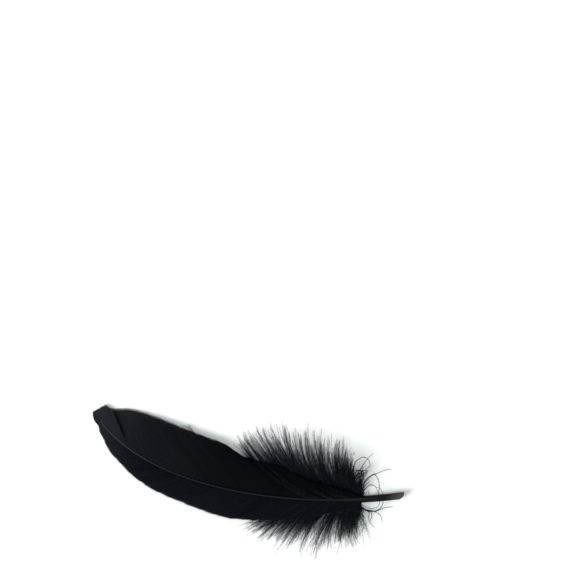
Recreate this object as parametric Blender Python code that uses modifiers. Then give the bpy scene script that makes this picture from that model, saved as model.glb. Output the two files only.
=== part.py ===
"""A black goose satinette feather, lying on a flat surface with its outer side up.

The feather grew as one piece, so it is one closed solid: a quill, the firm vane on both sides of it,
and the soft locks of down at its foot. Metres, +Z up, resting on Z = 0. +X runs out along the bare
quill, +Y to the wider half of the vane.

Places on the feather are given as a share of the quill's length, counted from its cut end, and an
offset square to the quill. The side is 1 on the wider half of the vane and -1 on the narrower one.
"""

import math
import random

import bmesh
import bpy
from mathutils import Matrix, Vector

MM = 0.001

# The quill. Its heading is the direction in which it runs towards the tip, in degrees from -X.
QUILL_LENGTH = 166 * MM
QUILL_END = (79.4 * MM, -6.8 * MM)
QUILL_RINGS = 35
START_HEADING = -7.5
STEADY_BEND = 34.0
TIP_HOOK = 26.0
TIP_HOOK_POWER = 5
BARE_SHARE = 0.125
CUT_SLANT = math.radians(33)
CUT_BACK = 0.6 * MM
# (share of the length, radius in mm)
QUILL_RADII = (
    (0, 1.7), (0.03, 1.76), (0.125, 1.68), (0.2, 1.3), (0.4, 0.95), (0.7, 0.62), (0.9, 0.42), (1, 0.34),
)

# How the feather stands off the surface: it touches at the bare quill, the tip and the locks.
ARCH_HEIGHT = 4.8 * MM
ARCH_END = 1.04
ARCH_EASE = 1.6
FLAT_UNDER_QUILL = 0.12 * MM
EDGE_HEIGHT_SHARE = 0.5
TIP_EDGE_HEIGHT = 0.25 * MM

# The vane's margin: (share where the barb is rooted, share where it ends, offset of its end in mm)
WIDE_MARGIN = (
    (0.12, 0.18, 5.0), (0.16, 0.235, 8.0), (0.22, 0.33, 12.0), (0.27, 0.395, 16.2), (0.33, 0.48, 17.6),
    (0.375, 0.535, 18.8), (0.42, 0.59, 22.2), (0.48, 0.665, 23.1), (0.555, 0.75, 23.2), (0.64, 0.84, 22.1),
    (0.72, 0.92, 19.3), (0.785, 0.965, 16.0), (0.84, 0.99, 12.6), (0.878, 1.007, 9.6), (0.892, 1.016, 8.5),
    (0.92, 1.024, 7.9), (0.955, 1.032, 7.1), (0.98, 1.035, 3.6), (1, 1.038, 0.2),
)
NARROW_MARGIN = (
    (0.12, 0.165, 4.4), (0.16, 0.225, 6.6), (0.23, 0.32, 9.7), (0.3, 0.405, 12.0), (0.38, 0.495, 13.8),
    (0.43, 0.545, 14.2), (0.5, 0.615, 13.3), (0.57, 0.68, 12.4), (0.68, 0.77, 11.8), (0.78, 0.865, 9.2),
    (0.86, 0.93, 6.8), (0.915, 0.975, 4.2), (0.95, 1.0, 2.2), (0.965, 1.009, 1.9), (0.975, 1.022, 2.3),
    (1, 1.036, 0.2),
)
VANE_THICKNESS = 0.55 * MM
VANE_BARBS = 54
VANE_STEPS = 5
BARB_RIDGE = 0.13 * MM
FIRST_BARB = 0.12
LAST_BARB = 1.0

# A barb leaves the quill above its middle, by a share of its radius. In plan it sweeps towards the tip
# and bows, and seen from the end of the feather it is cambered and droops.
BARB_SEAT = 0.3
BARB_SWEEP = 1.3
BARB_BOW = 1.15
BARB_DROOP = 1.6
BARB_CAMBER = 0.16

# The tip is parted from the rest of the wider half along one barb, and stands a little over it.
PARTED_ROOT = 0.882
PARTED_LIFT = 0.7 * MM

# The locks of down: (share where rooted, share at the tip, offset of the tip in mm, bow towards the tip)
WIDE_DOWN = (
    (0.129, 0.118, 12.3, 0.1), (0.131, 0.138, 16.2, 0.12), (0.133, 0.157, 20.4, 0.15),
    (0.136, 0.179, 27.7, 0.2), (0.142, 0.23, 29.8, 0.24), (0.152, 0.283, 32.7, 0.28),
    (0.165, 0.335, 32.0, 0.3), (0.18, 0.372, 34.9, 0.26), (0.2, 0.426, 35.1, 0.2),
    (0.22, 0.473, 34.1, 0.14), (0.24, 0.515, 32.6, 0.12), (0.265, 0.545, 30.6, 0.1),
    (0.285, 0.561, 28.0, 0.09), (0.3, 0.567, 23.6, 0.08),
)
NARROW_DOWN = (
    (0.129, 0.11, 15.5, 0.03), (0.131, 0.122, 18.5, 0.04), (0.134, 0.137, 21.3, 0.06),
    (0.138, 0.15, 24.0, 0.08), (0.143, 0.172, 25.6, 0.1), (0.15, 0.194, 26.5, 0.14),
    (0.162, 0.228, 28.5, 0.16), (0.175, 0.264, 30.2, 0.18), (0.19, 0.298, 28.9, 0.2),
    (0.205, 0.331, 26.5, 0.2), (0.222, 0.369, 26.2, 0.18), (0.245, 0.409, 24.9, 0.16),
    (0.265, 0.441, 21.0, 0.14), (0.285, 0.465, 19.1, 0.12), (0.305, 0.489, 16.1, 0.1),
)
LOCKS_A_SIDE = 24
LOCK_FLATNESS = 0.55
LOCK_RADII = (1.4 * MM, 2.1 * MM, 1.5 * MM, 0.4 * MM)
LOCK_STEPS = 5
LOCK_ROOT_DROP = 0.3 * MM
LOCK_TIP_HEIGHTS = (0.25 * MM, 4.2 * MM, 0.4 * MM, 8.2 * MM)
LOCK_UNEVENNESS = 0.04
SEED = 15

# Locks that curl back over the foot of the bare quill. Each is a side, the share where it is rooted,
# and the share and offset in mm of the point that it bends towards and of its tip, with its height.
CURLS = (
    (1, 0.128, (0.105, 22.0), (0.072, 4.0), 3.0 * MM),
    (1, 0.15, (0.15, 30.0), (0.1, 18.5), 4.5 * MM),
    (-1, 0.126, (0.112, 12.0), (0.072, 4.0), 0.3 * MM),
    (-1, 0.14, (0.125, 9.0), (0.096, 15.0), 0.3 * MM),
)
CURL_GIRTH = 0.5

BLACK = (0.012, 0.013, 0.018, 1)


def between(rows, at):
    """The values of rows at a position in its first column, on a smooth curve through all of them."""
    last = len(rows) - 1
    i = max(k for k in range(last) if k == 0 or rows[k][0] <= at)
    low, high = rows[i], rows[i + 1]
    width = high[0] - low[0]
    u = (at - low[0]) / width

    def slope(k, column):
        before, after = rows[max(k - 1, 0)], rows[min(k + 1, last)]
        return (after[column] - before[column]) / (after[0] - before[0])

    values = []
    for column in range(1, len(low)):
        a, b = low[column], high[column]
        out_of_a, into_b = slope(i, column) * width, slope(i + 1, column) * width
        values.append(
            a + u * out_of_a
            + u * u * (3 * (b - a) - 2 * out_of_a - into_b)
            + u ** 3 * (2 * (a - b) + out_of_a + into_b)
        )
    return values


def heading(share):
    """The quill's direction towards the tip, as an angle up from -X. Past the tip it runs straight on."""
    share = min(max(share, 0), 1)
    return math.radians(START_HEADING + STEADY_BEND * share + TIP_HOOK * share ** TIP_HOOK_POWER)


def quill_line(steps=400, end=1.06):
    """Points of the quill's middle line in plan, at even shares of its length, and how many to a length."""
    points = [Vector(QUILL_END)]
    for i in range(steps):
        angle = heading((i + 0.5) / steps * end)
        points.append(points[-1] + Vector((-math.cos(angle), math.sin(angle))) * (QUILL_LENGTH * end / steps))
    return points, steps / end


LINE, STEPS_PER_SHARE = quill_line()


def plan(share, offset):
    """The place in plan at this share of the quill, this far to the wider side."""
    at = min(max(share, 0) * STEPS_PER_SHARE, len(LINE) - 1.001)
    i = int(at)
    angle = heading(share)
    return LINE[i].lerp(LINE[i + 1], at - i) + Vector((math.sin(angle), math.cos(angle))) * offset


def arch(share):
    """How far the feather's middle stands off the surface, from the bare quill over to the tip."""
    way = (share - BARE_SHARE) / (ARCH_END - BARE_SHARE)
    return ARCH_HEIGHT * math.sin(math.pi * min(max(way, 0), 1)) ** ARCH_EASE


def quill_radius(share):
    return between(QUILL_RADII, share)[0] * MM


def quill_height(share):
    """The height of the quill's middle line."""
    return arch(share) + quill_radius(share) - FLAT_UNDER_QUILL


def edge_height(share):
    """The height of the vane's outer edge, which droops towards the surface."""
    return TIP_EDGE_HEIGHT + EDGE_HEIGHT_SHARE * arch(share)


def helper(name, data, collection):
    """A new object that only shapes the feather, and isn't shown itself."""
    obj = bpy.data.objects.new(name, data)
    obj.hide_render = True
    obj.display_type = "WIRE"
    collection.objects.link(obj)
    return obj


def tube(name, centres, radii, resolution, collection, flatness=1.0):
    """A closed round tube along these points, as a mesh, pressed to a share of its height."""
    curve = bpy.data.curves.new(name, "CURVE")
    curve.dimensions = "3D"
    curve.bevel_depth = 1
    curve.bevel_resolution = resolution
    curve.use_fill_caps = True
    curve.twist_mode = "Z_UP"
    spline = curve.splines.new("POLY")
    spline.points.add(len(centres) - 1)
    for point, centre, radius in zip(spline.points, centres, radii):
        point.co = (centre.x, centre.y, centre.z / flatness, 1)
        point.radius = radius
    guide = helper(name + "_guide", curve, collection)
    graph = bpy.context.evaluated_depsgraph_get()
    mesh = bpy.data.meshes.new_from_object(guide.evaluated_get(graph))
    bpy.data.objects.remove(guide)
    mesh.transform(Matrix.Diagonal((1, 1, flatness, 1)))
    welded = bmesh.new()
    welded.from_mesh(mesh)
    bmesh.ops.remove_doubles(welded, verts=welded.verts, dist=0.002 * MM)
    bmesh.ops.recalc_face_normals(welded, faces=welded.faces)
    welded.to_mesh(mesh)
    welded.free()
    return mesh


def quill_mesh(collection):
    """The quill, from its cut end to where it runs out in the vane."""
    centres, radii = [], []
    for i in range(QUILL_RINGS):
        share = i / (QUILL_RINGS - 1)
        centres.append(plan(share, 0).to_3d() + Vector((0, 0, quill_height(share))))
        radii.append(quill_radius(share))
    mesh = tube("quill", centres, radii, 3, collection)
    end_x, end_y = QUILL_END
    for vertex in mesh.vertices:
        if vertex.co.x > end_x - radii[0]:
            vertex.co.x += (vertex.co.y - end_y) * math.tan(CUT_SLANT) - CUT_BACK
    return mesh


def vane_point(row, along):
    """A point of the vane's middle surface. Along runs from -1, the narrow edge, to 1, the wide edge."""
    root = FIRST_BARB + (LAST_BARB - FIRST_BARB) * row / VANE_BARBS
    out = abs(along)
    end, offset = between(WIDE_MARGIN if along > 0 else NARROW_MARGIN, root)
    share = root + (end - root) * out ** BARB_SWEEP
    bow = 1 - (1 - out) ** BARB_BOW
    side = math.copysign(1, along)
    spot = plan(share, side * offset * MM * bow)
    start = quill_height(root) + BARB_SEAT * quill_radius(root)
    height = start + (edge_height(end) - start) * out ** BARB_DROOP
    height += BARB_CAMBER * out * (1 - out) * offset * MM
    height += BARB_RIDGE * (1 if row % 2 else -1) * min(1, 3 * out)
    if along > 0 and root > PARTED_ROOT:
        height += PARTED_LIFT * out
    return Vector((spot.x, spot.y, height))


def make_vane(collection):
    """Both halves of the vane, as one sheet whose rows follow the barbs."""
    mesh = bpy.data.meshes.new("vane")
    sheet = bmesh.new()
    bmesh.ops.create_grid(sheet, x_segments=VANE_BARBS, y_segments=2 * VANE_STEPS, size=0.5)
    for vertex in sheet.verts:
        row = round((vertex.co.x + 0.5) * VANE_BARBS)
        along = round(2 * vertex.co.y * VANE_STEPS) / VANE_STEPS
        vertex.co = vane_point(row, along)
    bmesh.ops.recalc_face_normals(sheet, faces=sheet.faces)
    sheet.to_mesh(mesh)
    sheet.free()
    vane = helper("vane", mesh, collection)
    thicken = vane.modifiers.new("thickness", "SOLIDIFY")
    thicken.thickness = VANE_THICKNESS
    thicken.offset = 0


def make_lock(name, root, knee, tip, tip_height, girth, collection):
    """One lock of down, from inside the quill out to its tip, bending towards its knee on the way."""
    start = plan(root, 0).to_3d() + Vector((0, 0, quill_height(root) - LOCK_ROOT_DROP))
    end = tip.to_3d() + Vector((0, 0, tip_height))
    knee = knee.to_3d() + Vector((0, 0, (start.z + end.z) / 2))
    centres, radii = [], []
    for i in range(LOCK_STEPS + 1):
        u = i / LOCK_STEPS
        centres.append(start * (1 - u) ** 2 + knee * 2 * u * (1 - u) + end * u * u)
        radii.append(girth * between([(k / 3, r) for k, r in enumerate(LOCK_RADII)], u)[0])
    helper(name, tube(name, centres, radii, 1, collection, LOCK_FLATNESS), collection)


def make_down(side, rows, collection):
    """The locks of one side, fanned along the foot of the vane."""
    chance = random.Random(SEED + side)
    numbered = [(number, *row) for number, row in enumerate(rows)]
    for i in range(LOCKS_A_SIDE):
        root, share, offset, bow = between(numbered, (len(rows) - 1) * i / (LOCKS_A_SIDE - 1))
        uneven = 1 - LOCK_UNEVENNESS * (i % 3) - chance.uniform(0, LOCK_UNEVENNESS)
        along = (share - root) * QUILL_LENGTH * uneven
        out = offset * MM * uneven
        bow = bow * chance.uniform(0.7, 1.3)
        tip = plan(root + along / QUILL_LENGTH, side * out)
        knee = plan(root + (along / 2 + out * bow) / QUILL_LENGTH, side * (out / 2 - along * bow))
        height = LOCK_TIP_HEIGHTS[i % len(LOCK_TIP_HEIGHTS)]
        make_lock(f"lock_{side}_{i}", root, knee, tip, height, 1, collection)


def make_curls(collection):
    """The few locks that curl back over the bare quill."""
    for i, (side, root, knee, tip, height) in enumerate(CURLS):
        knee_spot = plan(knee[0], side * knee[1] * MM)
        tip_spot = plan(tip[0], side * tip[1] * MM)
        make_lock(f"curl_{i}", root, knee_spot, tip_spot, height, CURL_GIRTH, collection)


def shells(solid):
    """The faces of a mesh, sorted into its closed shells."""
    left = set(solid.faces)
    found = []
    while left:
        shell = [left.pop()]
        for face in shell:
            for edge in face.edges:
                for neighbour in edge.link_faces:
                    if neighbour in left:
                        left.remove(neighbour)
                        shell.append(neighbour)
        found.append(shell)
    return found


def enclosed_volume(shell):
    """The volume inside a shell of flat faces: below zero for a pocket, whose faces look inwards."""
    return sum(face.verts[0].co.dot(face.normal) * face.calc_area() for face in shell) / 3


def keep_outside(feather):
    """Sets the joined solid as the object's own mesh, without the tiny pockets shut in between locks."""
    graph = bpy.context.evaluated_depsgraph_get()
    mesh = bpy.data.meshes.new_from_object(feather.evaluated_get(graph))
    solid = bmesh.new()
    solid.from_mesh(mesh)
    found = sorted(shells(solid), key=enclosed_volume)
    for shell in found[:-1]:
        bmesh.ops.delete(solid, geom=shell, context="FACES")
    solid.to_mesh(mesh)
    solid.free()
    feather.modifiers.clear()
    feather.data = mesh


def make_surface(collection):
    """The block below Z = 0 that stands for the surface, with which the feather's underside is trimmed."""
    size = 3 * QUILL_LENGTH
    mesh = bpy.data.meshes.new("surface")
    block = bmesh.new()
    bmesh.ops.create_cube(block, size=size)
    bmesh.ops.translate(block, verts=block.verts, vec=(0, 0, -size / 2))
    block.to_mesh(mesh)
    block.free()
    return helper("surface", mesh, collection)


def new_collection(name):
    collection = bpy.data.collections.new(name)
    bpy.context.scene.collection.children.link(collection)
    return collection


def make_feather():
    """Joins the quill, the vane and the locks in one solid and trims it where it rests."""
    parts = new_collection("goose_feather")
    growths = new_collection("growths")
    cutters = new_collection("cutters")
    feather = bpy.data.objects.new("feather", quill_mesh(growths))
    parts.objects.link(feather)
    make_vane(growths)
    make_down(1, WIDE_DOWN, growths)
    make_down(-1, NARROW_DOWN, growths)
    make_curls(growths)
    grown = feather.modifiers.new("grown_together", "BOOLEAN")
    grown.operation = "UNION"
    grown.operand_type = "COLLECTION"
    grown.collection = growths
    rest = feather.modifiers.new("rest_flat", "BOOLEAN")
    rest.operation = "DIFFERENCE"
    rest.object = make_surface(cutters)
    keep_outside(feather)
    return feather


def keratin():
    """The dyed horn of the feather."""
    material = bpy.data.materials.new("feather_black")
    material.use_nodes = True
    shader = material.node_tree.nodes["Principled BSDF"]
    shader.inputs["Base Color"].default_value = BLACK
    shader.inputs["Roughness"].default_value = 0.55
    shader.inputs["Metallic"].default_value = 0
    return material


def main():
    for obj in list(bpy.data.objects):
        bpy.data.objects.remove(obj)
    feather = make_feather()
    feather.data.materials.append(keratin())


main()
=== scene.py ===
"""The looks of a black goose satinette feather, barb by barb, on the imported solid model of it.

The feather lies with its outer side up. +X runs out along the bare quill, +Y to the wider half of the
vane. Places on it are given as a share of the quill's length, counted from its cut end, and an offset
square to the quill. The side is 1 on the wider half of the vane and -1 on the narrower one.
"""

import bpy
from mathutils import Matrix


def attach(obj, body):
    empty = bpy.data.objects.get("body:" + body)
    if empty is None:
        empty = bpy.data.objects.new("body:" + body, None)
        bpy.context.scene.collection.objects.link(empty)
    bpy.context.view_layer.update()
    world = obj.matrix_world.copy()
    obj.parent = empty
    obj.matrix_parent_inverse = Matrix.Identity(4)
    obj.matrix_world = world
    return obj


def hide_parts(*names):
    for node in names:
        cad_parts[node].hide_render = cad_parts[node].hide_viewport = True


bl_info = {
    "name": "Goose Satinette Feather",
    "version": (1, 0, 0),
    "blender": (4, 5, 0),
    "location": "View3D > Sidebar > Feather",
    "description": "Builds a black goose feather out of its quill, barbs and down",
    "category": "Add Mesh",
}

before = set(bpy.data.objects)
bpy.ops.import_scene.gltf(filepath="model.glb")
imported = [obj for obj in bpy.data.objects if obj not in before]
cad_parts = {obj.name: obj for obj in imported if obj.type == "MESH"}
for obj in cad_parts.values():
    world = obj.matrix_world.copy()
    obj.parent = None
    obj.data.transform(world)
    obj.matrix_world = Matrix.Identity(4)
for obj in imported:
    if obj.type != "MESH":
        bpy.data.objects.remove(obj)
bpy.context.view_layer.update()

import math
from collections import namedtuple

import bmesh
import bpy
import numpy as np
from mathutils import Vector

MM = 0.001

# The quill. Its heading is the direction in which it runs towards the tip, in degrees from -X.
QUILL_END = (79.4 * MM, -6.8 * MM)
START_HEADING = -7.5
STEADY_BEND = 34.0
TIP_HOOK = 26.0
TIP_HOOK_POWER = 5
BARE_SHARE = 0.125
# The cut end is rounded off by these slants: (degrees from square, place along the quill in mm)
CUTS = ((11, -0.165), (42, -0.06), (63, -1.2))
QUILL_SIDES = 20
QUILL_RINGS = 56
# (share of the length, radius in mm)
QUILL_RADII = (
    (0, 1.76), (0.03, 1.82), (0.125, 1.74), (0.16, 1.42), (0.2, 1.06), (0.4, 0.63), (0.7, 0.44), (0.9, 0.36),
    (1, 0.28),
)
FLAT_UNDER_QUILL = 0.12 * MM
QUILL_WALL = 0.3
RIM_DEPTH = 0.15 * MM
HOLLOW_DEPTH = 11 * MM
# How the hollow narrows on its way in: (share of its depth, its width as a share of the one before)
HOLLOW_STEPS = ((0.3, 0.98), (0.5, 0.9), (0.2, 0.5))
# The quill is made this share longer than it is, for the cuts to take off
SPARE_END = 0.02
GROOVE_SHARE = 0.16
GROOVE_DEPTH = 0.55
# What lies further below the middle than this share of the radius is pressed in
GROOVE_FROM = 0.9
SMOOTH_ANGLE = 50

# How the feather stands off the surface: it touches at the bare quill, the tip and the down.
ARCH_END = 1.04
ARCH_EASE = 1.6
EDGE_HEIGHT_SHARE = 0.5
TIP_EDGE_HEIGHT = 0.25 * MM

# The vane's margin: (share where the barb is rooted, share where it ends, offset of its end in mm)
WIDE_MARGIN = (
    (0.12, 0.18, 5.0), (0.15, 0.235, 8.0), (0.2, 0.33, 12.0), (0.24, 0.395, 16.2), (0.295, 0.48, 17.6),
    (0.335, 0.535, 18.8), (0.38, 0.59, 22.4), (0.45, 0.665, 23.3), (0.53, 0.75, 23.4), (0.62, 0.84, 22.3),
    (0.71, 0.92, 19.3), (0.78, 0.965, 16.0), (0.835, 0.99, 12.6), (0.878, 1.007, 9.6), (0.892, 1.016, 8.5),
    (0.92, 1.024, 7.9), (0.955, 1.032, 7.1), (0.98, 1.035, 3.6), (1, 1.038, 0.2),
)
NARROW_MARGIN = (
    (0.12, 0.165, 4.4), (0.16, 0.225, 6.6), (0.23, 0.32, 9.7), (0.3, 0.405, 12.1), (0.38, 0.495, 14.1),
    (0.43, 0.545, 14.5), (0.5, 0.615, 13.6), (0.57, 0.68, 12.7), (0.68, 0.77, 12.0), (0.755, 0.845, 10.0),
    (0.8, 0.88, 8.4), (0.84, 0.913, 7.6), (0.875, 0.935, 6.1), (0.905, 0.956, 4.7), (0.93, 0.975, 3.8),
    (0.945, 0.985, 2.9), (0.955, 0.995, 2.1), (0.965, 1.006, 2.3), (0.977, 1.018, 2.0), (0.99, 1.03, 1.0),
    (1, 1.037, 0.2),
)
FIRST_BARB = 0.12
LAST_BARB = 1.0
BARB_SEAT = 0.62
BARB_SWEEP = 1.3
BARB_BOW = 1.15
BARB_DROOP = 1.6
BARB_CAMBER = 0.16
BARB_STEPS = 15
BARB_OVERLAP = 0.62
BARB_RIDGE = 0.045 * MM
BARB_KEEL = 0.1 * MM
RAGGED_ENDS = 0.14 * MM
UNEVEN_HEIGHTS = 0.013 * MM
# From here out along a barb it narrows, to a quarter of its breadth
NARROWS_FROM = 0.93
NARROWING = 0.75
# The share by which a barb is thinner at its end than at its root
THINNER_END = 0.6
# The share of a barb from which its end is set back or forward
RAGGED_FROM = 0.6
# The margin's slow waves: (waves in the length of the quill, height in mm)
MARGIN_WAVES = ((17, 0.09), (31, 0.06), (53, 0.04))
# The last stretch of the quill, over which the waves and the parted tip's lift fade out
TIP_FADE = (1.0, 0.95)

# Where the vane has come apart: (side, share of the barb at the split, gap in mm, how far out it starts)
SPLITS = (
    (1, 0.882, -0.1, 0.2), (1, 0.435, 0.08, 0.8), (1, 0.355, 0.2, 0.75), (1, 0.27, 0.35, 0.55),
    (1, 0.655, 0.06, 0.75), (1, 0.23, 0.5, 0.5), (-1, 0.36, 0.15, 0.7), (-1, 0.3, 0.3, 0.5),
    (-1, 0.74, 0.04, 0.7), (-1, 0.25, 0.5, 0.5), (-1, 0.9, 0.08, 0.5),
)
SPLIT_SPREAD = 0.02
PARTED_ROOT = 0.882
PARTED_LIFT = 0.7 * MM
# The stretch of its barbs over which the parted tip lifts
PARTED_RISE = (0.05, 0.6)

# How pale the vane is, from 0 to 1. The narrower half is painted paler than the wider one, as painted light,
# and the wider half darker, as painted shade
NARROW_PAINTED_LIGHT_TONE = 0.34
WIDE_PAINTED_SHADE_TONE = 0.15
# How much paler the wide half is painted towards the tip, as a painted sheen
WIDE_PAINTED_SHEEN_RISE = 0.2
# The stretch of the quill over which the wide half is painted paler by that rise, a painted sheen towards the
# tip
WIDE_PAINTED_SHEEN_STRETCH = (0.45, 0.8)
TONE_UNEVENNESS = 0.05
MARGIN_TONE = 0.1
# Where along a barb the paler line by the margin is, and how wide it is
MARGIN_LINE = (0.92, 0.04)
# The lifted parted tip is painted paler, a painted sheen where it faces the light
PARTED_SHEEN_TONE = 0.04
# How much paler the tip is: worn dye and a painted sheen where the tip faces the light
WORN_AND_SHEEN_TONE = 0.45
# The share of the quill's length from which the dye is worn and a sheen is painted, and over how much more
# both grow
WORN_AND_SHEEN_FROM = 0.8
WORN_AND_SHEEN_OVER = 0.25
# The painted shade in the crease in front of the parted tip, and the share of the quill over which it fades
PARTING_SHADE = 0.5
PARTING_SHADE_WIDTH = 0.005
# The stretch of the barbs over which that painted shade sets in
PARTING_SHADE_RISE = (0.2, 0.5)

# The down's outline: (share where a barb is rooted, share at its tip, offset of its tip in mm, its bow,
# how full of barbules it is)
WIDE_DOWN = (
    (0.131, 0.126, 12.3, 0.1, 0.6), (0.134, 0.146, 16.2, 0.12, 0.62), (0.137, 0.165, 20.4, 0.15, 0.7),
    (0.14, 0.183, 28.7, 0.2, 0.9), (0.145, 0.23, 32.8, 0.28, 1.05), (0.153, 0.283, 36.2, 0.32, 1.05),
    (0.165, 0.335, 36.0, 0.34, 0.95), (0.18, 0.372, 36.4, 0.26, 0.82), (0.2, 0.426, 36.1, 0.2, 0.78),
    (0.22, 0.473, 35.1, 0.14, 0.78), (0.24, 0.515, 33.6, 0.12, 0.8), (0.265, 0.545, 31.6, 0.1, 0.8),
    (0.285, 0.561, 28.5, 0.09, 0.85), (0.3, 0.567, 24.1, 0.08, 0.95),
)
NARROW_DOWN = (
    (0.138, 0.153, 14.5, 0.0, 0.32), (0.142, 0.156, 20.5, 0.04, 0.32), (0.147, 0.164, 24.0, 0.08, 0.34),
    (0.152, 0.178, 25.6, 0.1, 0.4), (0.157, 0.195, 23.5, 0.14, 0.44), (0.166, 0.228, 24.5, 0.16, 0.42),
    (0.177, 0.264, 30.2, 0.18, 0.36), (0.19, 0.298, 28.9, 0.2, 0.5), (0.205, 0.331, 24.5, 0.2, 0.62),
    (0.222, 0.369, 26.7, 0.18, 0.75), (0.245, 0.409, 25.9, 0.16, 0.92), (0.265, 0.441, 23.0, 0.14, 1.05),
    (0.285, 0.465, 20.6, 0.12, 1.15), (0.305, 0.489, 17.6, 0.1, 1.1),
)
# Single barbs that curl away: points of share of the quill, offset in mm and height in mm
CURLS = (
    (
        (0.133, 5.5, 2.5), (0.111, 9.5, 3.5), (0.087, 12.2, 4.6), (0.075, 9.8, 5.0), (0.072, 5.9, 4.6),
        (0.077, 2.3, 3.8), (0.076, -1.4, 3.4), (0.082, -4.2, 2.4), (0.1, -5.0, 1.8), (0.118, -4.0, 1.6),
        (0.133, -2.1, 1.6),
    ),
    (
        (0.136, -3.3, 1.6), (0.125, -5.3, 1.4), (0.11, -6.4, 1.4), (0.093, -6.6, 1.6), (0.077, -5.5, 1.8),
        (0.066, -3.1, 2.6), (0.066, -0.5, 3.5), (0.064, 2.3, 3.6), (0.07, 4.7, 3.0), (0.079, 5.4, 2.0),
        (0.088, 5.9, 1.2),
    ),
    (
        (0.128, 3.0, 2.0), (0.111, 6.2, 3.0), (0.098, 7.0, 3.2), (0.085, 6.3, 3.2), (0.08, 3.9, 3.0),
        (0.079, 2.2, 2.6),
    ),
    ((0.128, 5.0, 2.2), (0.117, 6.9, 2.8), (0.109, 7.9, 3.0), (0.102, 8.9, 3.0)),
    (
        (0.16, 12.5, 2.6), (0.148, 18.2, 3.8), (0.135, 20.4, 4.4), (0.118, 21.5, 4.6), (0.103, 20.4, 4.4),
        (0.096, 17.2, 3.8), (0.107, 15.7, 3.2), (0.126, 14.1, 2.6),
    ),
    ((0.143, 11.9, 2.6), (0.131, 14.9, 3.2), (0.118, 17.7, 2.6), (0.105, 20.2, 1.6), (0.084, 23.0, 0.5)),
    ((0.143, 12.4, 3.0), (0.133, 13.6, 3.8), (0.12, 13.2, 4.2), (0.104, 13.3, 4.0)),
    (
        (0.152, 14.6, 3.2), (0.139, 15.0, 4.0), (0.126, 14.1, 4.4), (0.126, 12.3, 4.0), (0.14, 11.9, 3.4),
        (0.146, 13.7, 3.6), (0.137, 15.0, 4.2), (0.117, 14.8, 4.6),
    ),
    (
        (0.142, 10.3, 3.0), (0.136, 12.4, 3.6), (0.125, 12.8, 4.0), (0.119, 11.2, 3.8), (0.126, 9.1, 3.4),
        (0.132, 10.7, 3.2),
    ),
    (
        (0.151, 12.5, 3.2), (0.145, 11.1, 3.4), (0.133, 11.5, 3.8), (0.126, 13.6, 4.4), (0.13, 15.4, 4.6),
        (0.122, 16.5, 4.8),
    ),
    (
        (0.152, 13.2, 3.0), (0.14, 14.4, 3.6), (0.127, 14.6, 4.0), (0.119, 13.6, 4.0), (0.122, 12.2, 3.6),
        (0.133, 12.0, 3.4), (0.14, 13.2, 3.6), (0.131, 14.2, 4.0), (0.115, 13.6, 4.2), (0.108, 14.3, 4.2),
    ),
    (
        (0.15, 11.0, 2.8), (0.138, 12.9, 3.4), (0.127, 13.4, 3.8), (0.12, 12.4, 3.8), (0.127, 11.4, 3.4),
        (0.135, 12.5, 3.6), (0.125, 14.0, 4.0), (0.112, 14.7, 4.0), (0.104, 13.9, 3.8),
    ),
    (
        (0.13, 6.0, 2.4), (0.111, 10.2, 2.8), (0.088, 12.4, 2.6), (0.078, 12.5, 2.2), (0.058, 13.5, 1.2),
        (0.044, 14.0, 0.7), (0.028, 13.8, 0.4),
    ),
    (
        (0.132, -4.0, 1.4), (0.109, -6.2, 1.2), (0.091, -6.7, 1.0), (0.075, -5.9, 0.8), (0.06, -5.3, 0.5),
        (0.035, -5.2, 0.3),
    ),
    (
        (0.132, -4.4, 1.6), (0.117, -5.9, 1.5), (0.11, -7.3, 1.3), (0.112, -9.3, 1.0), (0.109, -12.5, 0.7),
        (0.096, -14.9, 0.4),
    ),
    ((0.13, -4.8, 1.2), (0.114, -6.2, 1.1), (0.104, -7.1, 0.9), (0.103, -9.2, 0.7), (0.109, -11.7, 0.5)),
    ((0.13, -5.2, 1.4), (0.106, -6.0, 1.2), (0.088, -7.3, 0.9), (0.077, -9.0, 0.6), (0.072, -12.7, 0.3)),
    ((0.138, -7.0, 1.6), (0.134, -9.9, 1.4), (0.123, -13.1, 1.0), (0.119, -15.3, 0.7), (0.112, -18.2, 0.4)),
    ((0.705, 22.4, 2.0), (0.735, 24.3, 1.4), (0.759, 24.0, 0.8)),
    ((0.702, 22.6, 2.0), (0.726, 24.8, 1.2), (0.737, 25.6, 0.6)),
)
CURL_STEPS = 40
CURL_FULLNESS = 0.5
CURL_BARBULES = 0.34
CURL_WIDTHS = (0.2 * MM, 0.075 * MM)
# The lowest that any barb comes to the surface
LOWEST = 0.03 * MM
# The lowest that the middle of a downy barb comes
LOWEST_SHAFT = 4 * LOWEST
SEED = 8


def between(rows, at):
    """The values of rows at positions in its first column, on a smooth curve through all of them."""
    rows = np.asarray(rows, float)
    x, y = rows[:, 0], rows[:, 1:]
    near = np.clip(np.arange(len(x))[:, None] + [-1, 1], 0, len(x) - 1)
    slopes = (y[near[:, 1]] - y[near[:, 0]]) / (x[near[:, 1]] - x[near[:, 0]])[:, None]
    at = np.asarray(at, float)
    i = np.clip(np.searchsorted(x, at) - 1, 0, len(x) - 2)
    width = (x[i + 1] - x[i])[..., None]
    u = (at - x[i])[..., None] / width
    a, b = y[i], y[i + 1]
    out_of_a, into_b = slopes[i] * width, slopes[i + 1] * width
    values = (
        a + u * out_of_a
        + u * u * (3 * (b - a) - 2 * out_of_a - into_b)
        + u ** 3 * (2 * (a - b) + out_of_a + into_b)
    )
    return np.moveaxis(values, -1, 0)


def ease(low, high, at):
    """Rises smoothly from 0 at low to 1 at high."""
    u = np.clip((at - low) / (high - low), 0, 1)
    return u * u * (3 - 2 * u)


def heading(share):
    """The quill's direction towards the tip, as an angle up from -X. Past the tip it runs straight on."""
    share = np.clip(share, 0, 1)
    return np.radians(START_HEADING + STEADY_BEND * share + TIP_HOOK * share ** TIP_HOOK_POWER)


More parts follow.
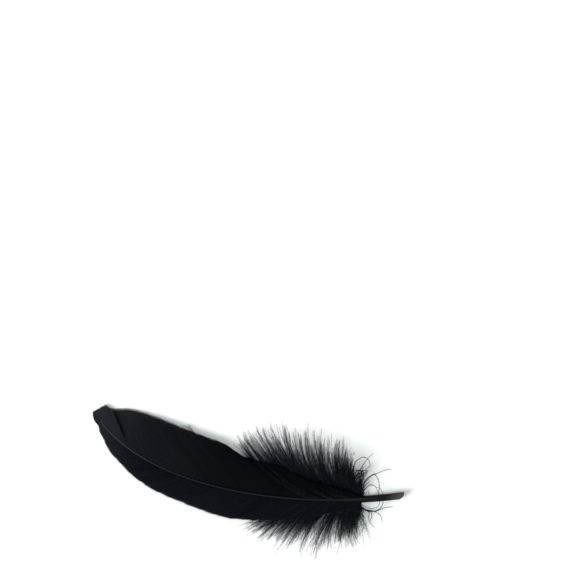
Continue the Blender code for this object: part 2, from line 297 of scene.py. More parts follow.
class QuillLine:
    """The quill's middle line in plan."""

    def __init__(self, length, steps=600, end=1.06):
        self.share = np.linspace(0, end, steps + 1)
        middle = (self.share[1:] + self.share[:-1]) / 2
        step = length * end / steps
        angle = heading(middle)
        self.x = QUILL_END[0] + np.concatenate(([0], np.cumsum(-np.cos(angle) * step)))
        self.y = QUILL_END[1] + np.concatenate(([0], np.cumsum(np.sin(angle) * step)))

    def plan(self, share, offset):
        """The place in plan at this share of the quill, this far to the wider side."""
        angle = heading(share)
        x = np.interp(share, self.share, self.x) + np.sin(angle) * offset
        y = np.interp(share, self.share, self.y) + np.cos(angle) * offset
        return np.stack(np.broadcast_arrays(x, y), -1)


def arch(share, sizes):
    """How far the feather's middle stands off the surface, from the bare quill over to the tip."""
    way = np.clip((share - BARE_SHARE) / (ARCH_END - BARE_SHARE), 0, 1)
    return sizes.arch_height * np.sin(np.pi * way) ** ARCH_EASE


def margin_offset(margin, share):
    """How far out the vane's edge is beside this share of the quill."""
    ends = [FIRST_BARB, *(row[1] for row in margin)]
    offsets = [0, *(row[2] for row in margin)]
    return np.interp(share, ends, offsets) * MM


def quill_radius(share):
    return between(QUILL_RADII, share)[0] * MM


def quill_height(share, sizes):
    """The height of the quill's middle line."""
    return arch(share, sizes) + quill_radius(share) - FLAT_UNDER_QUILL


def edge_height(share, sizes):
    """The height of the vane's outer edge, which droops towards the surface."""
    return TIP_EDGE_HEIGHT + EDGE_HEIGHT_SHARE * arch(share, sizes)


def vane_height(margin, share, offset, sizes):
    """The height of the vane's surface at a place on it."""
    edge = margin_offset(margin, share)
    out = np.clip(offset / np.maximum(edge, MM), 0, 1)
    start = quill_height(share, sizes) + BARB_SEAT * quill_radius(share)
    height = start + (edge_height(share, sizes) - start) * out ** BARB_DROOP
    return height + BARB_CAMBER * out * (1 - out) * edge


# How clear of the edges of its map a strand keeps, and how much its cross-section bulges there
MAP_MARGIN = 0.002
MAP_BULGE = 0.0015
# How clear of its neighbours' rows a strand keeps, as a share of its own
MAP_GAP = 0.05
# Where the three corners and the point of a needle are in its cell of the map
NEEDLE_CORNERS = ((0.1, 0.1), (0.5, 0.35), (0.9, 0.1), (0.5, 0.9))


def unit(vectors):
    return vectors / np.maximum(np.linalg.norm(vectors, axis=-1, keepdims=True), 1e-12)


def mesh_object(name, points, faces, places, tones):
    """One object of many closed strands. faces is a list of arrays of corners, all of one length in each.

    places holds a place on the strand's own map for each point, and tones a shade from 0 to 1.
    """
    mesh = bpy.data.meshes.new(name)
    corners = np.concatenate([f.ravel() for f in faces]).astype(np.int32)
    sizes = np.concatenate([np.full(len(f), f.shape[1]) for f in faces])
    starts = np.concatenate(([0], np.cumsum(sizes)[:-1])).astype(np.int32)
    mesh.vertices.add(len(points))
    mesh.vertices.foreach_set("co", points.astype(np.float32).ravel())
    mesh.loops.add(len(corners))
    mesh.loops.foreach_set("vertex_index", corners)
    mesh.polygons.add(len(starts))
    mesh.polygons.foreach_set("loop_start", starts)
    mesh.polygons.foreach_set("use_smooth", np.full(len(starts), True))
    strand_map = mesh.uv_layers.new(name="OFBake")
    strand_map.data.foreach_set("uv", places[corners].astype(np.float32).ravel())
    tone = mesh.attributes.new("tone", "FLOAT", "POINT")
    tone.data.foreach_set("value", tones.astype(np.float32))
    mesh.update(calc_edges=True)
    mesh.validate()
    piece = bpy.data.objects.new(name, mesh)
    bpy.context.scene.collection.objects.link(piece)
    return piece


def swept(rings, tones, rows=1.0):
    """Closed strands swept through their cross-sections: rings is (strands, steps, corners, 3).

    They take up this share of the rows of their map.
    """
    strands, steps, sides, _ = rings.shape
    index = np.arange(strands * steps * sides).reshape(strands, steps, sides)
    here, ahead = index[:, :-1], index[:, 1:]
    walls = np.stack((here, np.roll(here, -1, 2), np.roll(ahead, -1, 2), ahead), -1).reshape(-1, 4)
    caps = np.concatenate((index[:, 0, ::-1], index[:, -1]))
    bulge = np.sin(np.pi * np.arange(sides) / (sides - 1))
    along = np.linspace(MAP_MARGIN, 1 - MAP_MARGIN, steps)[None, :, None] - MAP_BULGE * bulge
    in_row = MAP_GAP + (1 - 2 * MAP_GAP) * np.arange(sides) / (sides - 1)
    across = (np.arange(strands)[:, None, None] + in_row) / strands
    places = np.stack(np.broadcast_arrays(along, rows * across), -1).reshape(-1, 2)
    tones = np.broadcast_to(np.reshape(tones, (strands, -1, 1)), (strands, steps, sides))
    return rings.reshape(-1, 3), [walls, caps], places, tones.ravel()


def strand_frames(paths):
    """The direction of each path at each of its points, and two square to it, the first one level."""
    along = unit(np.gradient(paths, axis=-2))
    level = unit(np.cross(along, [0, 0, 1]))
    return along, level, np.cross(level, along)


def bands(paths, half_widths, half_heights, tones, rows):
    """Closed flat bands along paths of (strands, steps, 3), as broad as twice their half widths."""
    along, level, raised = strand_frames(paths)
    broad, high = level * half_widths, raised * half_heights
    rings = np.stack((paths + broad, paths - high, paths - broad, paths + high), 2)
    rings[..., 2] = np.maximum(rings[..., 2], LOWEST)
    return swept(rings, tones, rows)


def needles(starts, ways, lengths, widths, tones, first_row):
    """Closed three-sided needles, from starts along the unit vectors in ways.

    They take up the rows of their map from first_row on.
    """
    level = unit(np.cross(ways, [0.3, 0.1, 1.0]))
    raised = np.cross(ways, level)
    count = len(starts)
    points = np.empty((count, 4, 3))
    for corner in range(3):
        turn = 2 * math.pi * corner / 3
        points[:, corner] = starts + (level * math.cos(turn) + raised * math.sin(turn)) * widths[:, None] / 2
    points[:, 3] = starts + ways * lengths[:, None]
    index = np.arange(count * 4).reshape(count, 4)
    faces = np.concatenate([index[:, order] for order in ((0, 1, 3), (1, 2, 3), (2, 0, 3), (0, 2, 1))])
    columns = max(int(math.sqrt(count)), 1)
    cell = 1 / columns
    column, row = np.arange(count) % columns, np.arange(count) // columns
    places = (np.stack((column, row), -1)[:, None] + np.array(NEEDLE_CORNERS)) * cell
    places[..., 1] = first_row + (1 - first_row) * places[..., 1] / (cell * (count / columns + 1))
    return points.reshape(-1, 3), [faces], places.reshape(-1, 2), np.repeat(tones, 4)


def joined(batches):
    """Several batches of points, faces, places and tones as one."""
    points, faces, places, tones = [], [], [], []
    first = 0
    for batch in batches:
        points.append(batch[0])
        faces.extend(f + first for f in batch[1])
        places.append(batch[2])
        tones.append(batch[3])
        first += len(batch[0])
    return np.concatenate(points), faces, np.concatenate(places), np.concatenate(tones)


def finish_piece(piece, material):
    piece.data.materials.clear()
    piece.data.materials.append(material)
    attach(piece, "root")
    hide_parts("feather")


def deselect_all():
    if bpy.context.object and bpy.context.object.mode != "OBJECT":
        bpy.ops.object.mode_set(mode="OBJECT")
    bpy.ops.object.select_all(action="DESELECT")


# Materials

VANE_ROUGHNESS = (0.48, 0.68)
QUILL_ROUGHNESS = 0.38
DOWN_ROUGHNESS = 0.75
# Relief: (strength, depth)
VANE_RELIEF = (0.35, 0.02 * MM)
QUILL_RELIEF = (0.3, 0.03 * MM)
# Stretches of X over which the quill takes on the look of its cut end, over which the painted highlight along
# its top pales towards its tip, and over which that highlight narrows
TO_CUT_END = (QUILL_END[0] - 30 * MM, QUILL_END[0] + 3 * MM)
TO_TIP = (-42 * MM, -76 * MM)
TO_NARROW_HIGHLIGHT = (-40 * MM, 45 * MM)
# How far up a face of the quill points where the painted highlight along its top begins, before and after it
# narrows
PAINTED_HIGHLIGHT_EDGES = (0.72, 0.93)
PAINTED_HIGHLIGHT_TOP = 0.99
# How much paler the painted highlight along the quill's top grows towards the tip
HIGHLIGHT_TIP_PALENESS = 3.2


def new_material(name):
    """A material, its node tree and its Principled BSDF."""
    material = bpy.data.materials.new(name)
    material.use_nodes = True
    tree = material.node_tree
    return material, tree, tree.nodes["Principled BSDF"]


def fill(tree, node, inputs):
    """Gives each of these inputs of a node its value, or links it to another node's output."""
    for name, value in inputs.items():
        if isinstance(value, bpy.types.NodeSocket):
            tree.links.new(value, node.inputs[name])
        else:
            node.inputs[name].default_value = value


def add_node(tree, kind, inputs, **settings):
    """A new node of this kind."""
    node = tree.nodes.new(f"ShaderNode{kind}")
    for name, value in settings.items():
        setattr(node, name, value)
    fill(tree, node, inputs)
    return node


def object_place(tree):
    return add_node(tree, "TexCoord", {}).outputs["Object"]


def strand_tone(tree):
    return add_node(tree, "Attribute", {}, attribute_name="tone").outputs["Fac"]


def mapped(tree, place, scale, turn=0.0):
    """A place stretched by scale and turned in its plane."""
    inputs = {"Vector": place, "Scale": scale, "Rotation": (0, 0, turn)}
    return add_node(tree, "Mapping", inputs).outputs["Vector"]


def noise(tree, place, scale, detail):
    return add_node(tree, "TexNoise", {"Vector": place, "Scale": scale, "Detail": detail}).outputs["Fac"]


def scaled_and_added(tree, value, factor, addend):
    """value times factor, plus addend."""
    inputs = {0: value, 1: factor, 2: addend}
    return add_node(tree, "Math", inputs, operation="MULTIPLY_ADD").outputs[0]


def ranged(tree, value, low, high, to_low=0, to_high=1, **settings):
    """A value carried over from between low and high to between to_low and to_high."""
    inputs = {"Value": value, "From Min": low, "From Max": high, "To Min": to_low, "To Max": to_high}
    return add_node(tree, "MapRange", inputs, **settings).outputs["Result"]


def mixed(tree, share, first, second):
    """The first colour where share is 0, and the second where it is 1."""
    inputs = {"Factor": share, "A": first, "B": second}
    return add_node(tree, "Mix", inputs, data_type="RGBA").outputs["Result"]


def bumped(tree, height, strength, distance):
    inputs = {"Height": height, "Strength": strength, "Distance": distance}
    return add_node(tree, "Bump", inputs).outputs["Normal"]


def colour_ramp(tree, at, stops):
    """The colour of a ramp with these stops of (position, colour)."""
    ramp = add_node(tree, "ValToRGB", {"Fac": at})
    while len(ramp.color_ramp.elements) < len(stops):
        ramp.color_ramp.elements.new(0.5)
    for element, (position, colour) in zip(ramp.color_ramp.elements, stops):
        element.position = position
        element.color = (*colour[:3], 1)
    return ramp.outputs["Color"]


def tinted(colour, share):
    return tuple(c * share for c in colour[:3])


def vane_material(finish):
    """Dyed barbs: blue-black, with uneven dye along and between them and the ribs of their barbules; their
    tone also carries painted sheen, light and shade.
    """
    material, tree, shader = new_material("vane_barbs")
    strand = add_node(tree, "UVMap", {}, uv_map="OFBake").outputs["UV"]
    dye = noise(tree, mapped(tree, strand, (9, 160, 1)), 1, 3)
    colour = finish.vane_colour
    # The palest stop is the tip's worn dye and painted sheen
    dyes = ((0.1, tinted(colour, 0.5)), (0.35, colour), (1.0, finish.worn_and_sheen_colour))
    rib_place = mapped(tree, strand, (1, 60, 1), math.radians(25))
    ribs = add_node(tree, "TexWave", {"Vector": rib_place, "Scale": 45, "Distortion": 1.5}).outputs["Fac"]
    relief = scaled_and_added(tree, ribs, 0.6, noise(tree, object_place(tree), 2600, 2))
    fill(tree, shader, {
        "Base Color": colour_ramp(tree, scaled_and_added(tree, dye, 0.2, strand_tone(tree)), dyes),
        "Normal": bumped(tree, relief, *VANE_RELIEF),
        "Roughness": ranged(tree, dye, 0, 1, *VANE_ROUGHNESS),
        "Specular IOR Level": finish.vane_shine,
    })
    return material


def quill_material(finish):
    """Dyed horn: near black along the vane and where bare, grey at the cut end, with a painted highlight
    along its top, where faces point up, grey along the vane and paler towards the tip.
    """
    material, tree, shader = new_material("quill_horn")
    place = object_place(tree)
    along = add_node(tree, "SeparateXYZ", {"Vector": place}).outputs["X"]
    grain = noise(tree, mapped(tree, place, (140, 2600, 2600)), 1, 4)
    to_end = ranged(tree, along, *TO_CUT_END)
    at = scaled_and_added(tree, grain, 0.2, to_end)
    rachis, bare, cut = finish.rachis_colour, finish.quill_colour, finish.cut_end_colour
    cut_end = ((0.92, cut), (1.0, tinted(cut, 2)))
    # The sides: darker copies of the colours, painted as shade beside the highlight
    sides = colour_ramp(tree, at, (
        (0.05, tinted(rachis, 0.2)), (0.37, tinted(bare, 0.3)), (0.74, tinted(bare, 0.8)), *cut_end,
    ))
    # Paler copies of the same colours, painted as a highlight along the top
    painted_highlight = colour_ramp(tree, at, ((0.05, rachis), (0.37, tinted(rachis, 0.6)), (0.74, bare), *cut_end))
    to_tip = ranged(tree, along, *TO_TIP)
    paler_painted_highlight = mixed(tree, to_tip, painted_highlight, (*tinted(rachis, HIGHLIGHT_TIP_PALENESS), 1))
    painted_highlight_edge = ranged(tree, along, *TO_NARROW_HIGHLIGHT, *PAINTED_HIGHLIGHT_EDGES)
    # The painted highlight falls on faces that point up
    normal = add_node(tree, "NewGeometry", {}).outputs["Normal"]
    upward = add_node(tree, "SeparateXYZ", {"Vector": normal}).outputs["Z"]
    on_painted_highlight = ranged(tree, upward, painted_highlight_edge, PAINTED_HIGHLIGHT_TOP, interpolation_type="SMOOTHSTEP")
    fill(tree, shader, {
        "Base Color": mixed(tree, on_painted_highlight, sides, paler_painted_highlight),
        "Normal": bumped(tree, grain, *QUILL_RELIEF),
        "Roughness": QUILL_ROUGHNESS,
        "Specular IOR Level": finish.quill_shine,
    })
    return material


def down_material(finish):
    """Dyed down: matt blue-black, a little paler in places."""
    material, tree, shader = new_material("down")
    colour = finish.down_colour
    dyes = ((0.2, tinted(colour, 0.5)), (0.6, colour), (1.0, tinted(colour, 3)))
    patches = noise(tree, object_place(tree), 120, 2)
    fill(tree, shader, {
        "Base Color": colour_ramp(tree, scaled_and_added(tree, patches, 0.5, strand_tone(tree)), dyes),
        "Roughness": DOWN_ROUGHNESS,
        "Specular IOR Level": finish.down_shine,
    })
    return material


# Settings


def length_setting(name, description, default):
    return bpy.props.FloatProperty(name=name, description=description, default=default, unit="LENGTH")


def count_setting(name, description, default, least=1):
    return bpy.props.IntProperty(name=name, description=description, default=default, min=least)


def colour_setting(name, description, default):
    return bpy.props.FloatVectorProperty(
        name=name, description=description, subtype="COLOR", size=3, default=default,
    )


def shine_setting(name, description, default):
    return bpy.props.FloatProperty(name=name, description=description, default=default, min=0, max=1)


class FeatherSizes(bpy.types.PropertyGroup):
    """Sizes of the feather that a user would change."""

    quill_length: length_setting(
        "Quill length", "Along the quill, from its cut end to where it runs out in the vane", 166 * MM,
    )
    arch_height: length_setting(
        "Arch height", "How far the middle of the feather stands off the surface", 4.8 * MM,
    )
    vane_barbs: count_setting("Vane barbs", "Barbs on each side of the vane", 320, 40)
    down_locks: count_setting("Locks of down", "Locks on each side of the foot of the vane", 46, 4)
    barbs_a_lock: count_setting("Barbs in a lock", "Downy barbs in each lock", 4)
    loose_barbs: count_setting("Loose barbs", "Downy barbs outside the locks, on each side", 105)
    stray_barbs: count_setting("Stray barbs", "Long thin barbs that stick out of the down, on each side", 16)
    short_barbs: count_setting("Short barbs", "Downy barbs close to the quill, on each side", 90)
    barbule_spacing: length_setting(
        "Barbule spacing", "Distance between barbules along a downy barb", 0.054 * MM,
    )
    barbule_length: length_setting("Barbule length", "Length of the longest barbules of the down", 2.0 * MM)
    barbule_width: length_setting("Barbule width", "Width of a barbule at its root", 0.068 * MM)


class FeatherFinish(bpy.types.PropertyGroup):
    """Colours and shine of the feather that a user would change."""

    vane_colour: colour_setting("Vane", "Colour of the dyed barbs", (0.001, 0.0016, 0.0033))
    # The palest colour, at the tip: worn dye and a painted sheen
    worn_and_sheen_colour: colour_setting(
        "Worn tip", "Colour of the barbs where the dye is palest, at the tip", (0.0192, 0.0188, 0.025),
    )
    # The rachis and bare quill colours show in full only in the painted highlight along the top; the quill's
    # sides are painted in darker copies of them
    rachis_colour: colour_setting("Rachis", "Colour of the quill along the vane", (0.012, 0.0115, 0.0135))
    quill_colour: colour_setting("Bare quill", "Colour of the bare quill", (0.0052, 0.005, 0.0056))
    cut_end_colour: colour_setting("Cut end", "Colour of the quill at its cut end", (0.039, 0.038, 0.04))
    down_colour: colour_setting("Down", "Colour of the dyed down", (0.0082, 0.0094, 0.0145))
    floor_colour: colour_setting("Floor", "Colour of the surface it lies on", (0.9, 0.905, 0.905))
    vane_shine: shine_setting("Vane shine", "Specular level of the barbs", 0.03)
    quill_shine: shine_setting("Quill shine", "Specular level of the quill", 0.12)
    down_shine: shine_setting("Down shine", "Specular level of the down", 0.06)


# The quill


def extrude_ring(move, turn, centre, growth):
    """Extrudes the selected ring on, turns it to its new heading and narrows it."""
    bpy.ops.mesh.extrude_region_move(TRANSFORM_OT_translate={"value": move})
    bpy.ops.transform.rotate(value=turn, orient_axis="Z", center_override=centre)
    bpy.ops.transform.resize(value=(growth, growth, growth), center_override=centre)


class FEATHER_OT_quill(bpy.types.Operator):
    """Model the quill: the bare hollow end, and the rachis that tapers through the vane"""

    bl_idname = "feather.quill"
    bl_label = "Quill"

    def execute(self, context):
        sizes = context.scene.feather_sizes
        line = QuillLine(sizes.quill_length)
        share = np.linspace(-SPARE_END, 1.0, QUILL_RINGS)
        plan = line.plan(np.maximum(share, 0), 0.0)
        angle = heading(share)
        plan[0] += np.array((math.cos(angle[0]), -math.sin(angle[0]))) * sizes.quill_length * SPARE_END
        height = quill_height(share, sizes)
        radius = quill_radius(np.maximum(share, 0))
        centres = [Vector((x, y, z)) for (x, y), z in zip(plan, height)]
        deselect_all()
        bpy.ops.mesh.primitive_circle_add(
            vertices=QUILL_SIDES, radius=radius[0], fill_type="NOTHING", location=centres[0],
            rotation=(0, math.radians(-90), -angle[0]),
        )
        quill = context.object
        quill.name = "quill"
        bpy.ops.object.mode_set(mode="EDIT")
        bpy.ops.mesh.select_all(action="SELECT")
        for i in range(1, QUILL_RINGS):
            turn, growth = float(angle[i] - angle[i - 1]), float(radius[i] / radius[i - 1])
            extrude_ring(centres[i] - centres[i - 1], turn, centres[i], growth)
        bpy.ops.mesh.edge_face_add()
        self.cut_hollow_end(quill, line, sizes)
        self.groove_underside(quill, line, sizes)
        self.flatten_where_it_rests(quill)
        bpy.ops.mesh.select_all(action="SELECT")
        bpy.ops.mesh.normals_make_consistent(inside=False)
        bpy.ops.object.mode_set(mode="OBJECT")
        bpy.ops.object.transform_apply(location=True, rotation=True, scale=True)
        bpy.ops.object.shade_smooth_by_angle(angle=math.radians(SMOOTH_ANGLE))
        finish_piece(quill, quill_material(context.scene.feather_finish))
        return {"FINISHED"}

    def flatten_where_it_rests(self, quill):
        """Flattens what would be below the surface that the feather lies on."""
        bpy.ops.mesh.select_all(action="DESELECT")
        grown = bmesh.from_edit_mesh(quill.data)
        for vertex in grown.verts:
            vertex.select = (quill.matrix_world @ vertex.co).z < 0
        grown.select_flush(True)
        bpy.ops.transform.resize(value=(1, 1, 0), center_override=(0, 0, 0))

    def cut_hollow_end(self, quill, line, sizes):
        """Cuts the end on a slant and hollows it to the quill's wall."""
        end = Vector((*line.plan(0.0, 0.0), quill_height(0.0, sizes)))
        along = Vector((-math.cos(float(heading(0.0))), math.sin(float(heading(0.0))), 0))
        across = Vector((along.y, -along.x, 0))
        for slant, place in CUTS:
            bpy.ops.mesh.select_all(action="SELECT")
            bpy.ops.mesh.bisect(
                plane_co=end + along * place * MM, clear_inner=True,
                plane_no=(along + across * math.tan(math.radians(slant))).normalized(),
            )
        bpy.ops.mesh.select_all(action="DESELECT")
        bpy.ops.mesh.select_mode(type="EDGE")
        bpy.ops.mesh.select_non_manifold()
        wall = 1 - QUILL_WALL
        bpy.ops.mesh.extrude_region_move(TRANSFORM_OT_translate={"value": along * RIM_DEPTH})
        bpy.ops.transform.resize(value=(1, wall, wall), center_override=end)
        for depth, narrowing in HOLLOW_STEPS:
            bpy.ops.mesh.extrude_region_move(TRANSFORM_OT_translate={"value": along * HOLLOW_DEPTH * depth})
            bpy.ops.transform.resize(
                value=(1, narrowing, narrowing), center_override=end + along * HOLLOW_DEPTH * depth,
            )
        bpy.ops.mesh.edge_face_add()

    def groove_underside(self, quill, line, sizes):
        """Presses the groove into the underside of the rachis."""
        bpy.ops.mesh.select_mode(type="VERT")
        grown = bmesh.from_edit_mesh(quill.data)
        for share in np.linspace(GROOVE_SHARE, 1.0, QUILL_RINGS):
            bpy.ops.mesh.select_all(action="DESELECT")
            radius = float(quill_radius(share))
            centre = Vector((*line.plan(share, 0.0), float(quill_height(share, sizes))))
            half_ring = sizes.quill_length / QUILL_RINGS / 2
            for vertex in grown.verts:
                place = quill.matrix_world @ vertex.co
                flat = (place - centre).to_2d()
                if flat.length < half_ring and place.z < centre.z - GROOVE_FROM * radius:
                    vertex.select = True
            grown.select_flush(True)
            if any(vertex.select for vertex in grown.verts):
                bpy.ops.transform.translate(value=(0, 0, GROOVE_DEPTH * radius))


# The vane


def vane_paths(side, margin, count, line, sizes, splits):
    """Where the barbs of one half run, as (barbs, steps, 3), with or without the splits between them."""
    root = np.linspace(FIRST_BARB, LAST_BARB, count)[:, None]
    out = np.linspace(0, 1, BARB_STEPS)[None, :]
    end, offset = between(margin, root)
    for waves, size in MARGIN_WAVES:
        offset = offset + size * np.sin(2 * np.pi * waves * end + waves * side) * ease(*TIP_FADE, end)
    share = root + (end - root) * out ** BARB_SWEEP
    bow = 1 - (1 - out) ** BARB_BOW
    for split_side, split_root, gap, start in SPLITS if splits else ():
        if split_side == side:
            apart = np.sign(root - split_root) * np.exp(-np.abs(root - split_root) / SPLIT_SPREAD)
            share = share + apart * gap * MM / sizes.quill_length * ease(start, 1, out) / 2
    plan = line.plan(share, side * offset * MM * bow)
    start = quill_height(root, sizes) + BARB_SEAT * quill_radius(root)
    height = start + (edge_height(end, sizes) - start) * out ** BARB_DROOP
    height = height + BARB_CAMBER * out * (1 - out) * offset * MM
    if side > 0:
        lift = PARTED_LIFT * ease(*PARTED_RISE, out) * (root > PARTED_ROOT)
        height = height + lift * ease(*TIP_FADE, root)
    return np.concatenate((plan, height[..., None]), -1)


def vane_half(side, margin, count, line, sizes):
    """The barbs of one half of the vane, each a closed blade that overlaps its neighbours."""
    chance = np.random.default_rng(SEED + side)
    paths = vane_paths(side, margin, count, line, sizes, True)
    even = vane_paths(side, margin, count, line, sizes, False)
    along = unit(np.gradient(paths, axis=1))
    aside = np.gradient(even, axis=0)
    aside = aside - along * np.sum(aside * along, -1, keepdims=True)
    raised = side * unit(np.cross(along, aside))
    out = np.linspace(0, 1, BARB_STEPS)
    narrowing = 1 - NARROWING * ease(NARROWS_FROM, 1, out)
    ragged = RAGGED_ENDS * ease(RAGGED_FROM, 1, out)[:, None]
    paths = paths + along * chance.uniform(-1, 1, (count, 1, 1)) * ragged
    paths = paths + raised * chance.normal(0, UNEVEN_HEIGHTS, (count, 1, 1))
    half = aside * (BARB_OVERLAP * narrowing)[:, None]
    thin = (1 - THINNER_END * out)[:, None]
    corners = (
        paths + half, paths + raised * BARB_RIDGE * thin,
        paths - half, paths - raised * BARB_KEEL * thin,
    )
    rings = np.stack(corners if side > 0 else corners[::-1], 2)
    rings[..., 2] = np.maximum(rings[..., 2], LOWEST)
    return swept(rings, vane_tones(side, margin, count, chance))


def vane_tones(side, margin, count, chance):
    """How pale each barb is painted along it: worn dye and painted sheen towards the tip, a paler line by the
    margin, painted light on the narrower half, painted shade on the wider one, a painted sheen on the parted
    tip and painted shade in the crease before it.
    """
    root = np.linspace(FIRST_BARB, LAST_BARB, count)[:, None]
    out = np.linspace(0, 1, BARB_STEPS)[None, :]
    end, _ = between(margin, root)
    share = root + (end - root) * out ** BARB_SWEEP
    # Paler towards the tip: worn dye and a painted sheen
    worn_and_sheen = WORN_AND_SHEEN_TONE * np.clip((share - WORN_AND_SHEEN_FROM) / WORN_AND_SHEEN_OVER, 0, 1.1) ** 1.5
    line_place, line_width = MARGIN_LINE
    by_margin = MARGIN_TONE * np.exp(-((out - line_place) / line_width) ** 2)
    tones = chance.uniform(-TONE_UNEVENNESS, TONE_UNEVENNESS, (count, 1)) + worn_and_sheen + by_margin
    # Painted light on the narrower half, painted shade on the wider one, and a painted sheen rising towards
    # the tip
    tones = tones + (WIDE_PAINTED_SHADE_TONE + WIDE_PAINTED_SHEEN_RISE * ease(*WIDE_PAINTED_SHEEN_STRETCH, share) if side > 0 else NARROW_PAINTED_LIGHT_TONE)
    if side > 0:
        # A painted sheen on the lifted parted tip
        tones = tones + PARTED_SHEEN_TONE * (root > PARTED_ROOT)
        # Painted shade in the crease in front of the parted tip
        shade = PARTING_SHADE * (root < PARTED_ROOT) * np.exp((root - PARTED_ROOT) / PARTING_SHADE_WIDTH)
        tones = tones - shade * ease(*PARTING_SHADE_RISE, out)
    return np.clip(tones, 0, 1)


class FEATHER_OT_vane(bpy.types.Operator):
    """Grow both halves of the vane, barb by barb"""

    bl_idname = "feather.vane"
    bl_label = "Vane"

    def execute(self, context):
        sizes = context.scene.feather_sizes
        line = QuillLine(sizes.quill_length)
        material = vane_material(context.scene.feather_finish)
        for name, side, margin in (("vane_wide", 1, WIDE_MARGIN), ("vane_narrow", -1, NARROW_MARGIN)):
            batch = vane_half(side, margin, sizes.vane_barbs, line, sizes)
            finish_piece(mesh_object(name, *batch), material)
        return {"FINISHED"}


# The down

DOWN_STEPS = 20
# A downy barb is widest where it is rooted, and matted there into a band
BAND_WIDTHS = (0.12 * MM, 0.035 * MM)
BAND_TAPER = 1.6
BAND_THICKNESS = 0.4
LOCK_SPREAD = 0.85 * MM
LOOSE_SPREAD = 2.2 * MM
STRAY_SPREAD = 4 * MM
ROOT_SPREAD = 0.008
ROOT_OFFSET = 0.3 * MM
BOW_SPREAD = 0.06
# The most that a barb, and all barbs of a lock together, fall short of the down's outline
BARB_SHORTNESS = 0.3
LOCK_SHORTNESS = 0.2
# How full of barbules each kind of barb is, next to what the outline gives
LOCK_FULLNESS = 0.85
LOOSE_FULLNESS = 0.75
SHORT_FULLNESS = 0.55
STRAY_FULLNESS = 0.2
# How much of that fullness a lock may have
UNEVEN_FULLNESS = (0.6, 1.0)
# How far a stray and a short barb reach, as a share of the outline
STRAY_REACH = 1.15
SHORT_REACH = (0.4, 0.8)
# The chance that a lock lies above the vane
SHARE_ABOVE = 0.08
# How far a downy barb waves to its sides, at the bare quill and further up the vane
FOOT_WAVE = 1.1 * MM
TOP_WAVE = 0.5 * MM
# How far up the down the waves shrink from the first to the second, and how much they vary
WAVE_REACH = 0.45
WAVE_SIZES = (0.5, 1.2)
# The least and the greatest angle that a wave runs through from root to tip, in radians
WAVE_TURN = (4, 10)
# How much more the barbs by the bare quill spread, bow and lie down than the others, and how far up they do
FOOT_SPREAD = 1.3 * MM
FOOT_BOWS = 0.1
FOOT_LOWERING = 0.5
FOOT_REACH = 0.3
TIP_HEIGHTS = (0.3 * MM, 7.3 * MM)
TIP_HEIGHT_SPREAD = 0.8 * MM
# A downy barb leaves the vane's height over these stretches of the way to the vane's edge and of itself
CLEAR_OF_VANE = (0.8, 2.2)
CLEAR_ALONG = (0.1, 0.8)
ABOVE_VANE = 0.3 * MM
BELOW_VANE = 0.45 * MM
HIDDEN_FULLNESS = 0.12
# A barb below the vane is hidden within this share of the way to the vane's edge
HIDDEN_WITHIN = 0.85
# How the barbules thin out from the root of a barb to its tip
THINNING = 0.1
# Where along a barb its first barbule may be
FIRST_BARBULE = 0.04
# How far a barbule leans away from its barb, and how unevenly, in degrees
BARBULE_LEAN = 42
BARBULE_LEAN_SPREAD = 10
# How unevenly barbules turn out of the level, in radians
BARBULE_TURN_SPREAD = 0.5
# (place along the barb, length of the barbules there as a share of the longest)
BARBULE_SIZES = ((0, 0.6), (0.25, 1), (0.6, 0.9), (0.9, 0.55), (1, 0.4))
UNEVEN_LENGTHS = (0.6, 1.1)
# The width of the shortest barbules, next to that of the longest
THINNEST_BARBULE = 0.6
FEWEST_BARBULES = 4
PALEST_BARBULE = 0.8
PALEST_SHAFT = 0.4
# The rows of the down's map that the barbs take up. The barbules have those above them
BARB_ROWS = 0.09
BARBULE_ROWS_FROM = 0.1


